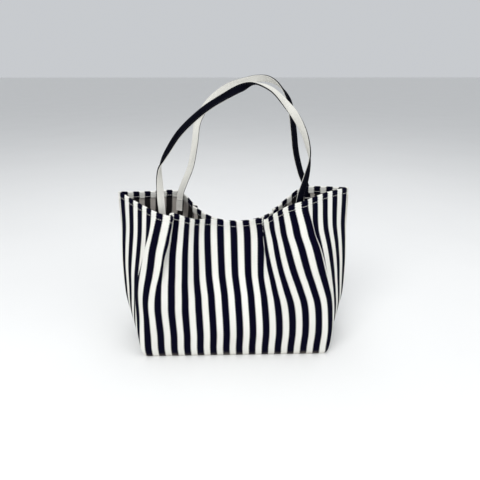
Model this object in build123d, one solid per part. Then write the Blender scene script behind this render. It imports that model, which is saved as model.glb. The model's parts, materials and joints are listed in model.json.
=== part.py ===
from build123d import *
import os
from math import atan2, cos, degrees, exp, pi, sin

# A canvas tote bag that stands on its boxed base, in millimetres. X runs along the bag, Y from its
# front to its back, +Z up. The origin is the middle of the base, on the surface that it stands on.

# Cloth and thread
CLOTH = 2.0                 # heavy woven cotton
HEM = 3.2                   # the two layers of a twice-turned hem
HEM_DEPTH = 12.0
SEAM_ALLOWANCE = 10.0
SEAM_THICKNESS = 3.2
CORNER_SEAM_LENGTH = 140.0
CORNER_SEAM_INSET = 13.0    # from the inside of the end wall to the middle of the corner seam
THREAD = 0.7
STITCH_LENGTH = 3.2
STITCH_PITCH = 4.2
STITCH_END_X = 196.0        # the last stitch, beside the side seam
STITCH_LIFT = 0.45          # from the wall to the thread
TOPSTITCH_DROP = 9.7        # from the rim down to the topstitching

# Body of the bag
BASE_HALF_WIDTH = 174.0
BASE_HALF_DEPTH = 95.0
RIM_CENTRE_HEIGHT = 240.0
RIM_SCOOP = 61.0            # how much higher the rim is at the side seams
RIM_SCOOP_HALF_WIDTH = 200.0
MAGNET_RADIUS = 5.0
MAGNET_THICKNESS = 1.9
MAGNET_POCKET = 2.05        # depth of the hem's pocket for it
POCKET_MARGIN = 0.1         # the pocket's radius over the magnet's
MEETING_GAP = 0.15          # from the middle plane to each hem where the rims meet
CLOSED_HALF_DEPTH = MEETING_GAP + HEM + CLOTH
PINCH_HALF_WIDTH = 80.0     # half of the stretch of rim that the magnets draw together
OUTLINE_STEPS = 26          # along one half of the outline
PAST_MIDDLE = 8.0           # how far a cutting shape runs past the middle plane
ABOVE_RIM = 312.0
CUT_HALF_WIDTH = 240.0      # of the shape that cuts the scooped rim
CUT_HALF_DEPTH = 150.0
CUT_FLOOR = -20.0
CUT_STEPS = 24

# Height, half width, half depth, squareness of the outline, and half depth at the drawn-in middle
LEVELS = [
    (0.0, BASE_HALF_WIDTH - 5.0, BASE_HALF_DEPTH - 5.0, 7.0, BASE_HALF_DEPTH - 5.0),
    (6.0, BASE_HALF_WIDTH, BASE_HALF_DEPTH, 7.0, BASE_HALF_DEPTH),
    (20.0, 189.0, 98.0, 6.0, 98.0),
    (50.0, 209.0, 100.0, 4.6, 100.0),
    (95.0, 214.0, 99.0, 3.4, 88.0),
    (150.0, 214.0, 90.0, 2.8, 54.0),
    (200.0, 213.0, 78.0, 2.4, 26.0),
    (228.0, 211.0, 68.0, 2.2, CLOSED_HALF_DEPTH),
    (RIM_CENTRE_HEIGHT, 210.5, 66.0, 2.1, CLOSED_HALF_DEPTH),
    (ABOVE_RIM, 209.0, 54.0, 2.0, CLOSED_HALF_DEPTH),
]

# Handles
STRAP_WIDTH = 12.5
TAPE = 1.5                  # one tape; a handle is two of them back to back
STRAP = 2 * TAPE
STRAP_X = 124.0             # each leg's distance from the middle
STRAP_END_LENGTH = 40.0
LEG_LENGTH = 76.0           # straight part of a leg above the swing axis
CLEARANCE = 0.3
SWING_OFFSET = (CLOTH + HEM) / 2 + CLEARANCE + STRAP / 2
LEG_BELOW_AXIS = 3.5
STRAP_END_BELOW_AXIS = 6.4
FRONT_LEAN = 8.0            # degrees, towards the back
BACK_LEAN = 10.0
BARTACK_WIDTH = 10.0
BARTACK_HEIGHT = 1.5
BARTACK_THICKNESS = 0.8
UPPER_BARTACK_DROP = 10.0   # from the top of the strap end
LOWER_BARTACK_RISE = 5.0    # from the bottom of the strap end


def rim_height(x):
    """Height of the scooped rim at a distance x from the middle."""
    share = min(abs(x) / RIM_SCOOP_HALF_WIDTH, 1.0)
    return RIM_CENTRE_HEIGHT + RIM_SCOOP * (1 - cos(pi * share)) / 2


def drawn_in(x, half_depth, middle):
    """Share of the depth that is left at x where the magnets draw the two walls together."""
    return 1 - (1 - middle / half_depth) * exp(-((x / PINCH_HALF_WIDTH) ** 4))


def outline(level, inset, side, past):
    """Face of one half of the bag's outline at one level, moved in by inset."""
    height, half_width, half_depth, squareness, middle = level
    half_width -= inset
    half_depth -= inset
    middle -= inset
    points = []
    for step in range(OUTLINE_STEPS + 1):
        angle = pi * step / OUTLINE_STEPS
        reach = (abs(cos(angle)) ** squareness + abs(sin(angle)) ** squareness) ** (-1 / squareness)
        x = half_width * cos(angle) * reach
        y = half_depth * sin(angle) * reach * drawn_in(x, half_depth, middle)
        points.append((x, side * y))
    edges = [Spline(*points)]
    if past:
        corners = [points[-1], (points[-1][0], -side * past), (points[0][0], -side * past), points[0]]
        edges.append(Polyline(*corners))
    else:
        edges.append(Line(points[-1], points[0]))
    return Pos(0, 0, height) * make_face(edges)


def level_at(height):
    """The wall's sizes at any height, in proportion between the two levels around it."""
    for low, high in zip(LEVELS, LEVELS[1:]):
        if low[0] <= height <= high[0]:
            share = (height - low[0]) / (high[0] - low[0])
            return tuple(a + share * (b - a) for a, b in zip(low, high))
    raise ValueError("height is outside the bag")


def wall_depth(x, height):
    """Distance from the middle plane to the wall's outer face."""
    _, half_width, half_depth, squareness, middle = level_at(height)
    flat = (1 - abs(x / half_width) ** squareness) ** (1 / squareness)
    return half_depth * flat * drawn_in(x, half_depth, middle)


def filled(side, inset, floor=0.0, past=0.0):
    """One half of the bag's outer shape moved in by inset, solid, from the floor to above the rim."""
    levels = [level_at(floor)] + [level for level in LEVELS if level[0] > floor]
    return loft([outline(level, inset, side, past) for level in levels], ruled=True)


def below_rim(drop):
    """Everything lower than the rim less drop."""
    across = [CUT_HALF_WIDTH * (2 * step / CUT_STEPS - 1) for step in range(CUT_STEPS + 1)]
    curve = Spline(*[(x, rim_height(x) - drop) for x in across])
    sides = Polyline(curve @ 1, (CUT_HALF_WIDTH, CUT_FLOOR), (-CUT_HALF_WIDTH, CUT_FLOOR), curve @ 0)
    profile = Plane.XZ * make_face([curve, sides])
    return extrude(profile, amount=CUT_HALF_DEPTH, both=True)


def rim_band(side, inset, thickness, top, bottom):
    """A band that follows one wall from top to bottom below the rim."""
    slab = (filled(side, inset) & below_rim(top)) - below_rim(bottom)
    return slab - filled(side, inset + thickness, 0.0, PAST_MIDDLE)


def panel(side):
    """Front or back panel: its wall, its half of both sides and its half of the base."""
    shell = filled(side, 0.0) - filled(side, CLOTH, CLOTH, PAST_MIDDLE)
    return shell & below_rim(0.0)


def disc_in_hem(side, radius, outer_gap, thickness):
    """An upright disc in the middle of the rim, outer_gap inside the wall's inner face."""
    middle_y = side * (MEETING_GAP + HEM - outer_gap - thickness / 2)
    return Pos(0, middle_y, RIM_CENTRE_HEIGHT - HEM_DEPTH / 2) * Rot(90, 0, 0) * Cylinder(radius, thickness)


def magnet(side):
    """The closure magnet, between the wall and the hem."""
    outer_gap = MAGNET_POCKET - MAGNET_THICKNESS - POCKET_MARGIN / 2
    return disc_in_hem(side, MAGNET_RADIUS, outer_gap, MAGNET_THICKNESS)


def hem(side):
    """The twice-turned hem inside the rim, with a round pocket for its magnet."""
    band = rim_band(side, CLOTH, HEM, 0.0, HEM_DEPTH)
    pocket = disc_in_hem(side, MAGNET_RADIUS + POCKET_MARGIN, -CLOTH / 2, MAGNET_POCKET + CLOTH / 2)
    return band - pocket


def on_wall(x, height, side):
    """Point of the wall's outer face."""
    return Vector(x, side * wall_depth(x, height), height)


def on_topstitch(x, side):
    """Point of the topstitching line, on the wall's outer face."""
    return on_wall(x, rim_height(x) - TOPSTITCH_DROP, side)


def topstitch(side):
    """The stitches that hold the hem, a row of short bars of thread on the wall's outer face."""
    stitches = []
    x = -STITCH_END_X
    while x <= STITCH_END_X:
        here = on_topstitch(x, side)
        along = on_topstitch(x + 1, side) - on_topstitch(x - 1, side)
        upward = on_wall(x, here.Z + 1, side) - on_wall(x, here.Z - 1, side)
        place = Plane(origin=here, x_dir=along, z_dir=along.cross(upward) * -side)
        stitches.append(place * Pos(0, 0, THREAD / 2 + STITCH_LIFT) * Box(STITCH_LENGTH, THREAD, THREAD))
        x += STITCH_PITCH * along.X / along.length
    return Compound(stitches)


def side_seam(end):
    """The seam allowance inside one side, from the corner seam up to the hem."""
    bottom = CLOTH + SEAM_THICKNESS + CLEARANCE
    top = rim_height(RIM_SCOOP_HALF_WIDTH) - HEM_DEPTH
    heights = [bottom] + [level[0] for level in LEVELS if bottom < level[0] < top] + [top]
    sewn = [(level_at(height)[1] - CLOTH - CLEARANCE, height) for height in heights]
    edge = [(x - SEAM_ALLOWANCE, height) for x, height in reversed(sewn)]
    profile = make_face(Polyline(*[(end * x, height) for x, height in sewn + edge], close=True))
    return extrude(Plane.XZ * profile, amount=SEAM_THICKNESS / 2, both=True)


def corner_seam(end):
    """The seam that boxes one end of the base, lying flat inside it."""
    middle_x = end * (BASE_HALF_WIDTH - CLOTH - CORNER_SEAM_INSET)
    strip = Box(SEAM_ALLOWANCE, CORNER_SEAM_LENGTH, SEAM_THICKNESS)
    return Pos(middle_x, 0, CLOTH + SEAM_THICKNESS / 2) * strip


def base_seam():
    """The seam that joins the two panels along the middle of the base, lying flat inside it."""
    end_x = BASE_HALF_WIDTH - CLOTH - CORNER_SEAM_INSET - SEAM_ALLOWANCE / 2 - CLEARANCE
    length = 2 * end_x
    return Pos(0, 0, CLOTH + SEAM_THICKNESS / 2) * Box(length, SEAM_ALLOWANCE, SEAM_THICKNESS)


def swing_axis(side):
    """The line over the rim that one handle swings about, as its Y and Z."""
    highest_rim = rim_height(STRAP_X + STRAP_WIDTH / 2)
    height = highest_rim + SWING_OFFSET + STRAP / 2 + CLEARANCE
    wall = wall_depth(STRAP_X, rim_height(STRAP_X))
    return side * (wall - (CLOTH + HEM) / 2), height


def arch(width, drop):
    """Face of the flat arch between a handle's two edges, in the plane of the handle."""
    shape = None
    for radius in (STRAP_X + width / 2, STRAP_X - width / 2):
        outer = Pos(0, LEG_LENGTH) * Circle(radius)
        legs = Pos(0, (LEG_LENGTH - drop) / 2) * Rectangle(2 * radius, LEG_LENGTH + drop)
        crown = outer & (Pos(0, LEG_LENGTH + radius) * Rectangle(2 * radius, 2 * radius))
        shape = crown + legs if shape is None else shape - (crown + legs)
    return shape


def handle_tape(side, lean, outermost):
    """One of a handle's two tapes: the outermost faces away from the bag's middle."""
    axis_y, axis_z = swing_axis(side)
    flat = extrude(arch(STRAP_WIDTH, LEG_BELOW_AXIS), amount=TAPE)
    upright = Rot(90, 0, 0) * flat                      # occupies Y from -TAPE to 0
    centre = -side * SWING_OFFSET
    front_tape = (side < 0) == outermost
    offset = centre if front_tape else centre + TAPE
    return Pos(0, axis_y, axis_z) * Rot(-lean, 0, 0) * Pos(0, offset, 0) * upright


def strap_end_frame(side, end):
    """Place of one strap end: its top, against the hem, turned and leaning with the wall."""
    axis_y, axis_z = swing_axis(side)
    top = axis_z - STRAP_END_BELOW_AXIS
    low = top - STRAP_END_LENGTH
    lean = degrees(atan2(wall_depth(STRAP_X, low) - wall_depth(STRAP_X, top), STRAP_END_LENGTH))
    across = wall_depth(STRAP_X - STRAP_WIDTH / 2, top) - wall_depth(STRAP_X + STRAP_WIDTH / 2, top)
    turn = degrees(atan2(across, STRAP_WIDTH))
    place = Pos(end * STRAP_X, axis_y - side * (SWING_OFFSET + CLEARANCE), top)
    return place * Rot(0, 0, -side * end * turn) * Rot(side * lean, 0, 0)


def strap_ends(side):
    """The two ends of a handle, sewn flat inside the rim."""
    end_piece = Pos(0, 0, -STRAP_END_LENGTH / 2) * Box(STRAP_WIDTH, STRAP, STRAP_END_LENGTH)
    return Compound([strap_end_frame(side, end) * end_piece for end in (-1, 1)])


def bartacks(side):
    """Two bars of thread across each strap end."""
    bar = Box(BARTACK_WIDTH, BARTACK_THICKNESS, BARTACK_HEIGHT)
    inward = -side * (STRAP + BARTACK_THICKNESS) / 2
    bars = []
    for end in (-1, 1):
        for drop in (UPPER_BARTACK_DROP, STRAP_END_LENGTH - LOWER_BARTACK_RISE):
            bars.append(strap_end_frame(side, end) * Pos(0, inward, -drop) * bar)
    return Compound(bars)


def build():
    """Every node's name and solid."""
    parts = {"base_seam": base_seam()}
    for name, side, lean in (("front", -1, FRONT_LEAN), ("back", 1, BACK_LEAN)):
        parts[f"{name}_panel"] = panel(side)
        parts[f"{name}_hem"] = hem(side)
        parts[f"{name}_topstitch"] = topstitch(side)
        parts[f"{name}_magnet"] = magnet(side)
        parts[f"{name}_handle_navy_tape"] = handle_tape(side, lean, True)
        parts[f"{name}_handle_cream_tape"] = handle_tape(side, lean, False)
        parts[f"{name}_strap_ends"] = strap_ends(side)
        parts[f"{name}_bartacks"] = bartacks(side)
    for name, end in (("left", -1), ("right", 1)):
        parts[f"{name}_side_seam"] = side_seam(end)
        parts[f"{name}_corner_seam"] = corner_seam(end)
    return parts


os.makedirs("parts", exist_ok=True)
for node, solid in build().items():
    export_step(solid, f"parts/{node}.step")
for side_name, side_sign in (("front", -1), ("back", 1)):
    print(f"{side_name} handle swings about y, z = {swing_axis(side_sign)}")
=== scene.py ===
"""A striped canvas tote bag with two-coloured tape handles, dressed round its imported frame.

Everything is in metres, in the frame's own axes: X along the bag, Y from its front to its back,
+Z up.
"""

import json
import logging
import math
from collections.abc import Callable, Sequence
from dataclasses import dataclass, field, fields
from enum import Enum

import bpy
import numpy as np
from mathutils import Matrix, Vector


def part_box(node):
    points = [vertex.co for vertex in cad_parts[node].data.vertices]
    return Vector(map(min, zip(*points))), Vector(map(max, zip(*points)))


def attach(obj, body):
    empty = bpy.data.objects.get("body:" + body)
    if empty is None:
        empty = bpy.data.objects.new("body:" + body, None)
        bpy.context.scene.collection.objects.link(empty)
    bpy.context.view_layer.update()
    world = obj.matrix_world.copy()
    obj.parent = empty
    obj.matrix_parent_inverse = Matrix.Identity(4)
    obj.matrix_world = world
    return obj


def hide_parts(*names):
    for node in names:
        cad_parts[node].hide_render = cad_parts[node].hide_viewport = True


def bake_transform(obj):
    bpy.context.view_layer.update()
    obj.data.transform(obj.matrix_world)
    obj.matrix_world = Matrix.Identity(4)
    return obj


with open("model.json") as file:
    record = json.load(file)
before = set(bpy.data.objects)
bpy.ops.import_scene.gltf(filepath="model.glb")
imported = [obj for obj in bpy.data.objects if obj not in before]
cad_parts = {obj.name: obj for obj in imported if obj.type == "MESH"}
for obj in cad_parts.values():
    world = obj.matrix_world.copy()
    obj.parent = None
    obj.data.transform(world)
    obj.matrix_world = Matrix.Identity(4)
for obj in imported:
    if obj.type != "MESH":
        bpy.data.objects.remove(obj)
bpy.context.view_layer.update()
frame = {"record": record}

LOG = logging.getLogger("tote")
CLOTH_MAP = "cloth"         # attribute: across the cloth, down from the rim, and wear from 0 to 1
MM = 0.001
FULL_TURN = 2 * math.pi
STRIPE_PITCH = 24.4 * MM    # one navy and one cream stripe together
PLATEAU_AREA = 1.813        # under plateau(q, 1)

Array = np.ndarray
Colour = tuple[float, float, float]


class Named(Enum):
    """A choice whose name the nodes spell in small letters."""

    @property
    def word(self) -> str:
        """The name as the nodes spell it."""
        return self.name.lower()


class Side(Named):
    """The two panels, by the sign of Y that they face."""

    FRONT = -1
    BACK = 1


class End(Named):
    """The two ends of the bag, by the sign of X."""

    LEFT = -1
    RIGHT = 1


# ---------------------------------------------------------------------------------- shading


def operator(operation: str,
             swapped: bool = False) -> Callable[["Shade", "Shade | float"], "Shade"]:
    """Makes an arithmetic method.

    Args:
        operation: The Math node's operation.
        swapped: Whether the other operand comes first.

    Returns:
        The method.
    """
    def apply(self: "Shade", other: "Shade | float") -> "Shade":
        return self.math(operation, other, self) if swapped else self.math(operation, self, other)

    return apply


@dataclass(frozen=True)
class Shade:
    """A number that varies over a surface: a socket whose arithmetic adds Math nodes."""

    tree: bpy.types.NodeTree
    socket: bpy.types.NodeSocket

    __add__, __radd__ = operator("ADD"), operator("ADD", True)
    __sub__, __rsub__ = operator("SUBTRACT"), operator("SUBTRACT", True)
    __mul__, __rmul__ = operator("MULTIPLY"), operator("MULTIPLY", True)
    __truediv__ = operator("DIVIDE")

    def math(self, operation: str, *values: "Shade | float") -> "Shade":
        """Adds one Math node.

        Args:
            operation: The Math node's operation.
            values: Its operands, in order.

        Returns:
            The node's result.
        """
        node = self.tree.nodes.new("ShaderNodeMath")
        node.operation = operation
        for entry, value in zip(node.inputs, values):
            plug(self.tree, entry, value)
        return Shade(self.tree, node.outputs[0])

    def waves(self, length: float) -> "Shade":
        """Even waves between 0 and 1, one to each length."""
        angle = self * (FULL_TURN / length)
        return angle.math("SINE", angle) * 0.5 + 0.5

    def zigzag(self) -> "Shade":
        """Straight climbs and falls between 0 and 0.5, one of each to a whole number."""
        saw = self.math("FRACT", self) - 0.5
        return saw.math("ABSOLUTE", saw)

    def rise(self, low: float, high: float) -> "Shade":
        """Smooth step from 0 at low to 1 at high.

        Args:
            low: Where the step starts.
            high: Where it ends.

        Returns:
            The step's height.
        """
        node = self.tree.nodes.new("ShaderNodeMapRange")
        node.interpolation_type = "SMOOTHSTEP"
        for entry, value in zip(node.inputs, (self, low, high, 0.0, 1.0)):
            plug(self.tree, entry, value)
        return Shade(self.tree, node.outputs[0])


def plug(tree: bpy.types.NodeTree, entry: bpy.types.NodeSocket, value: object) -> None:
    """Links or sets one socket.

    Args:
        tree: The tree that holds the socket.
        entry: The input socket.
        value: A Shade, an output socket, a number or a colour.
    """
    if isinstance(value, Shade):
        value = value.socket
    if isinstance(value, bpy.types.NodeSocket):
        tree.links.new(value, entry)
    elif isinstance(value, tuple) and len(value) == 3 and entry.type == "RGBA":
        entry.default_value = (*value, 1.0)
    else:
        entry.default_value = value


class Paint:
    """One material under construction."""

    def __init__(self, name: str) -> None:
        """Starts a material with only a Principled surface.

        Args:
            name: The material's name.
        """
        self.material = bpy.data.materials.new(name)
        self.material.use_nodes = True
        self.tree = self.material.node_tree
        self.tree.nodes.clear()
        self.surface = self.add("ShaderNodeBsdfPrincipled", {}, {})
        self.add("ShaderNodeOutputMaterial", {}, {"Surface": self.surface.outputs[0]})

    def add(self, kind: str, settings: dict[str, object],
            inputs: dict[str | int, object]) -> bpy.types.Node:
        """Adds a node.

        Args:
            kind: The node's type.
            settings: Its own settings, set before its sockets.
            inputs: Its sockets by name or number, with values or links.

        Returns:
            The node.
        """
        node = self.tree.nodes.new(kind)
        for key, value in settings.items():
            setattr(node, key, value)
        for key, value in inputs.items():
            plug(self.tree, node.inputs[key], value)
        return node

    def cloth(self) -> tuple[Shade, Shade, Shade]:
        """The cloth's own coordinates.

        Returns:
            Metres across, metres along, and wear from 0 to 1.
        """
        source = self.add("ShaderNodeAttribute", {"attribute_name": CLOTH_MAP}, {})
        parts = self.add("ShaderNodeSeparateXYZ", {}, {0: source.outputs["Vector"]})
        return tuple(Shade(self.tree, parts.outputs[k]) for k in range(3))

    def noise(self, across: Shade, along: Shade, grain: tuple[float, float],
              detail: float = 2.0) -> Shade:
        """Noise in the cloth's own coordinates.

        Args:
            across: Metres across the cloth.
            along: Metres along it.
            grain: Size of the grain across and along, in metres.
            detail: Number of finer layers.

        Returns:
            Noise around 0.5.
        """
        place = self.add("ShaderNodeCombineXYZ", {}, {0: across / grain[0], 1: along / grain[1]})
        node = self.add("ShaderNodeTexNoise", {"noise_dimensions": "2D"},
                        {"Vector": place.outputs[0], "Scale": 1.0, "Detail": detail})
        return Shade(self.tree, node.outputs[0])

    def speckle(self, scale: float, detail: float) -> Shade:
        """Noise in the object's own space."""
        place = self.add("ShaderNodeTexCoord", {}, {}).outputs["Object"]
        node = self.add("ShaderNodeTexNoise", {},
                        {"Vector": place, "Scale": scale, "Detail": detail})
        return Shade(self.tree, node.outputs[0])

    def mix(self, factor: Shade | float, first: object, second: object) -> bpy.types.NodeSocket:
        """Mixes two colours.

        Args:
            factor: Share of the second.
            first: Colour at 0.
            second: Colour at 1.

        Returns:
            The mixed colour.
        """
        node = self.add("ShaderNodeMix", {"data_type": "RGBA"}, {0: factor, 6: first, 7: second})
        return node.outputs[2]

    def finish(self, colour: object, roughness: object, height: Shade | None = None,
               depth: float = 0.0) -> bpy.types.Material:
        """Connects the surface.

        Args:
            colour: Base colour, plain or linked.
            roughness: Roughness, plain or linked.
            height: Height of the relief, from 0 to 1, if there is one.
            depth: Depth of the relief in metres.

        Returns:
            The finished material.
        """
        plug(self.tree, self.surface.inputs["Base Color"], colour)
        plug(self.tree, self.surface.inputs["Roughness"], roughness)
        if height is not None:
            bump = self.add("ShaderNodeBump", {},
                            {"Strength": 1.0, "Distance": depth, "Height": height})
            plug(self.tree, self.surface.inputs["Normal"], bump.outputs[0])
        return self.material

    def set(self, **values: float) -> None:
        """Sets constants on the surface, by socket name with _ for a space."""
        for key, value in values.items():
            self.surface.inputs[key.replace("_", " ")].default_value = value


@dataclass(frozen=True)
class StripedCanvas:
    """Heavy yarn-dyed twill in equal navy and cream stripes, herringboned from stripe to stripe."""

    name: str
    navy: Colour
    navy_fleck: Colour
    cream: Colour
    cream_shade: Colour
    soil: Colour = (0.36, 0.32, 0.27)
    pitch: float = STRIPE_PITCH
    edge_low: float = 0.252         # where cream starts, in pitches from a navy stripe's middle
    edge_high: float = 0.280        # where no navy is left
    tooth: float = 4.3 * MM         # length of one tooth of the serrated stripe edge
    tooth_share: float = 0.085      # its height as a share of the pitch
    twill: float = 2.7 * MM
    yarn: float = 0.95 * MM
    depth: float = 0.35 * MM

    def material(self) -> bpy.types.Material:
        """Builds the material."""
        paint = Paint(self.name)
        across, along, worn = paint.cloth()
        fuzz = paint.noise(across, along, (self.yarn, self.yarn * 2.2))
        tooth = (along / self.tooth).zigzag() * (4 * self.tooth_share) - self.tooth_share
        from_navy = (across / self.pitch + 0.5).zigzag()
        edge = from_navy + tooth * 0.5 + (fuzz - 0.5) * 0.03
        cream_share = edge.rise(self.edge_low, self.edge_high)
        lean = cream_share * 2.0 - 1.0
        twill = (along + lean * across).waves(self.twill)
        warp, weft = across.waves(self.yarn), along.waves(self.yarn * 1.15)
        slub = paint.noise(across, along, (1.3 * MM, 26 * MM), 1.0)
        cloud = paint.noise(across, along, (55 * MM, 80 * MM), 3.0)
        navy_mix = (twill * 0.45 + fuzz * 0.7 - 0.35).rise(0.0, 1.0)
        navy = paint.mix(navy_mix, self.navy, self.navy_fleck)
        cream_mix = ((1 - twill) * 0.28 + (1 - slub) * 0.35 + (cloud - 0.35) * 0.5).rise(0.1, 1.0)
        cream = paint.mix(cream_mix, self.cream, self.cream_shade)
        colour = paint.mix(cream_share, navy, cream)
        dirt = (worn * 0.55 + (cloud - 0.5) * worn).rise(0.12, 1.0) * 0.55
        colour = paint.mix(dirt, colour, self.soil)
        height = twill * 0.45 + warp * 0.25 + weft * 0.2 + fuzz * 0.35
        paint.set(Specular_IOR_Level=0.03)
        return paint.finish(colour, 0.82 + fuzz * 0.14, height, self.depth)


@dataclass(frozen=True)
class WovenTape:
    """Close ribbed tape."""

    name: str
    colour: Colour
    shade: Colour
    rib: float = 1.5 * MM
    yarn: float = 0.9 * MM
    depth: float = 0.28 * MM

    def material(self) -> bpy.types.Material:
        """Builds the material."""
        paint = Paint(self.name)
        across, along, worn = paint.cloth()
        rib, yarn = along.waves(self.rib), across.waves(self.yarn)
        fuzz = paint.noise(across, along, (0.7 * MM, 2.2 * MM))
        cloud = paint.noise(across, along, (14 * MM, 45 * MM))
        mix = (rib * 0.3 + fuzz * 0.5 + (cloud - 0.5) * 0.9).rise(0.1, 1.0)
        colour = paint.mix(mix, self.colour, self.shade)
        colour = paint.mix(worn * 0.35, colour, self.shade)
        height = rib * 0.55 + yarn * 0.25 + fuzz * 0.3
        paint.set(Specular_IOR_Level=0.03)
        return paint.finish(colour, 0.72 + fuzz * 0.2, height, self.depth)


@dataclass(frozen=True)
class SewingThread:
    """Twisted sewing thread."""

    name: str
    colour: Colour
    shade: Colour
    twist: float = 0.55 * MM
    depth: float = 0.12 * MM

    def material(self) -> bpy.types.Material:
        """Builds the material."""
        paint = Paint(self.name)
        across, along, _ = paint.cloth()
        ply = (along + across * 2.0).waves(self.twist)
        fuzz = paint.noise(across, along, (0.3 * MM, 0.8 * MM))
        colour = paint.mix((ply * 0.5 + fuzz * 0.5).rise(0.2, 0.9), self.shade, self.colour)
        paint.set(Sheen_Weight=0.2, Specular_IOR_Level=0.35)
        return paint.finish(colour, 0.6 + fuzz * 0.2, ply * 0.6 + fuzz * 0.3, self.depth)


@dataclass(frozen=True)
class PlatedDisc:
    """Nickel plating on the closure magnets, with fine rubbing."""

    name: str = "nickel_plating"

    def material(self) -> bpy.types.Material:
        """Builds the material."""
        paint = Paint(self.name)
        rubbed = paint.speckle(900.0, 3.0)
        colour = paint.mix(rubbed, (0.55, 0.54, 0.52), (0.75, 0.74, 0.71))
        paint.set(Metallic=1.0)
        return paint.finish(colour, 0.22 + rubbed * 0.2, rubbed, 0.02 * MM)


@dataclass(frozen=True)
class PaleFloor:
    """A plain pale floor with a faint mottle."""

    name: str = "pale_floor"
    colour: Colour = (0.86, 0.86, 0.85)
    shade: Colour = (0.82, 0.82, 0.81)

    def material(self) -> bpy.types.Material:
        """Builds the material."""
        paint = Paint(self.name)
        return paint.finish(paint.mix(paint.speckle(3.0, 5.0), self.colour, self.shade), 0.7)


@dataclass(frozen=True)
class Finishes:
    """Every material of the bag, made once."""

    canvas: bpy.types.Material = field(default_factory=StripedCanvas(
        "striped_canvas", (0.0012, 0.0011, 0.007), (0.0045, 0.0042, 0.020),
        (0.83, 0.825, 0.775), (0.66, 0.655, 0.595)).material)
    # The canvas's wrong side, for the inner faces: duller, browner stripes, partly the real reverse
    # of the cloth and partly painted shade of the bag's inside.
    lining: bpy.types.Material = field(default_factory=StripedCanvas(
        "striped_canvas_wrong_side", (0.016, 0.014, 0.016), (0.045, 0.040, 0.038),
        (0.62, 0.58, 0.53), (0.44, 0.40, 0.36)).material)
    navy_tape: bpy.types.Material = field(default_factory=WovenTape(
        "navy_tape", (0.0008, 0.0009, 0.003), (0.004, 0.0045, 0.010)).material)
    cream_tape: bpy.types.Material = field(default_factory=WovenTape(
        "cream_tape", (0.68, 0.67, 0.62), (0.52, 0.51, 0.47)).material)
    thread: bpy.types.Material = field(default_factory=SewingThread(
        "cream_thread", (0.86, 0.84, 0.78), (0.60, 0.58, 0.53)).material)
    dark_thread: bpy.types.Material = field(default_factory=SewingThread(
        "navy_thread", (0.006, 0.007, 0.018), (0.002, 0.002, 0.006)).material)
    overlock: bpy.types.Material = field(default_factory=SewingThread(
        "overlock_thread", (0.80, 0.78, 0.73), (0.52, 0.50, 0.46)).material)
    plating: bpy.types.Material = field(default_factory=PlatedDisc().material)


# ---------------------------------------------------------------------------------- meshes


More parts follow.
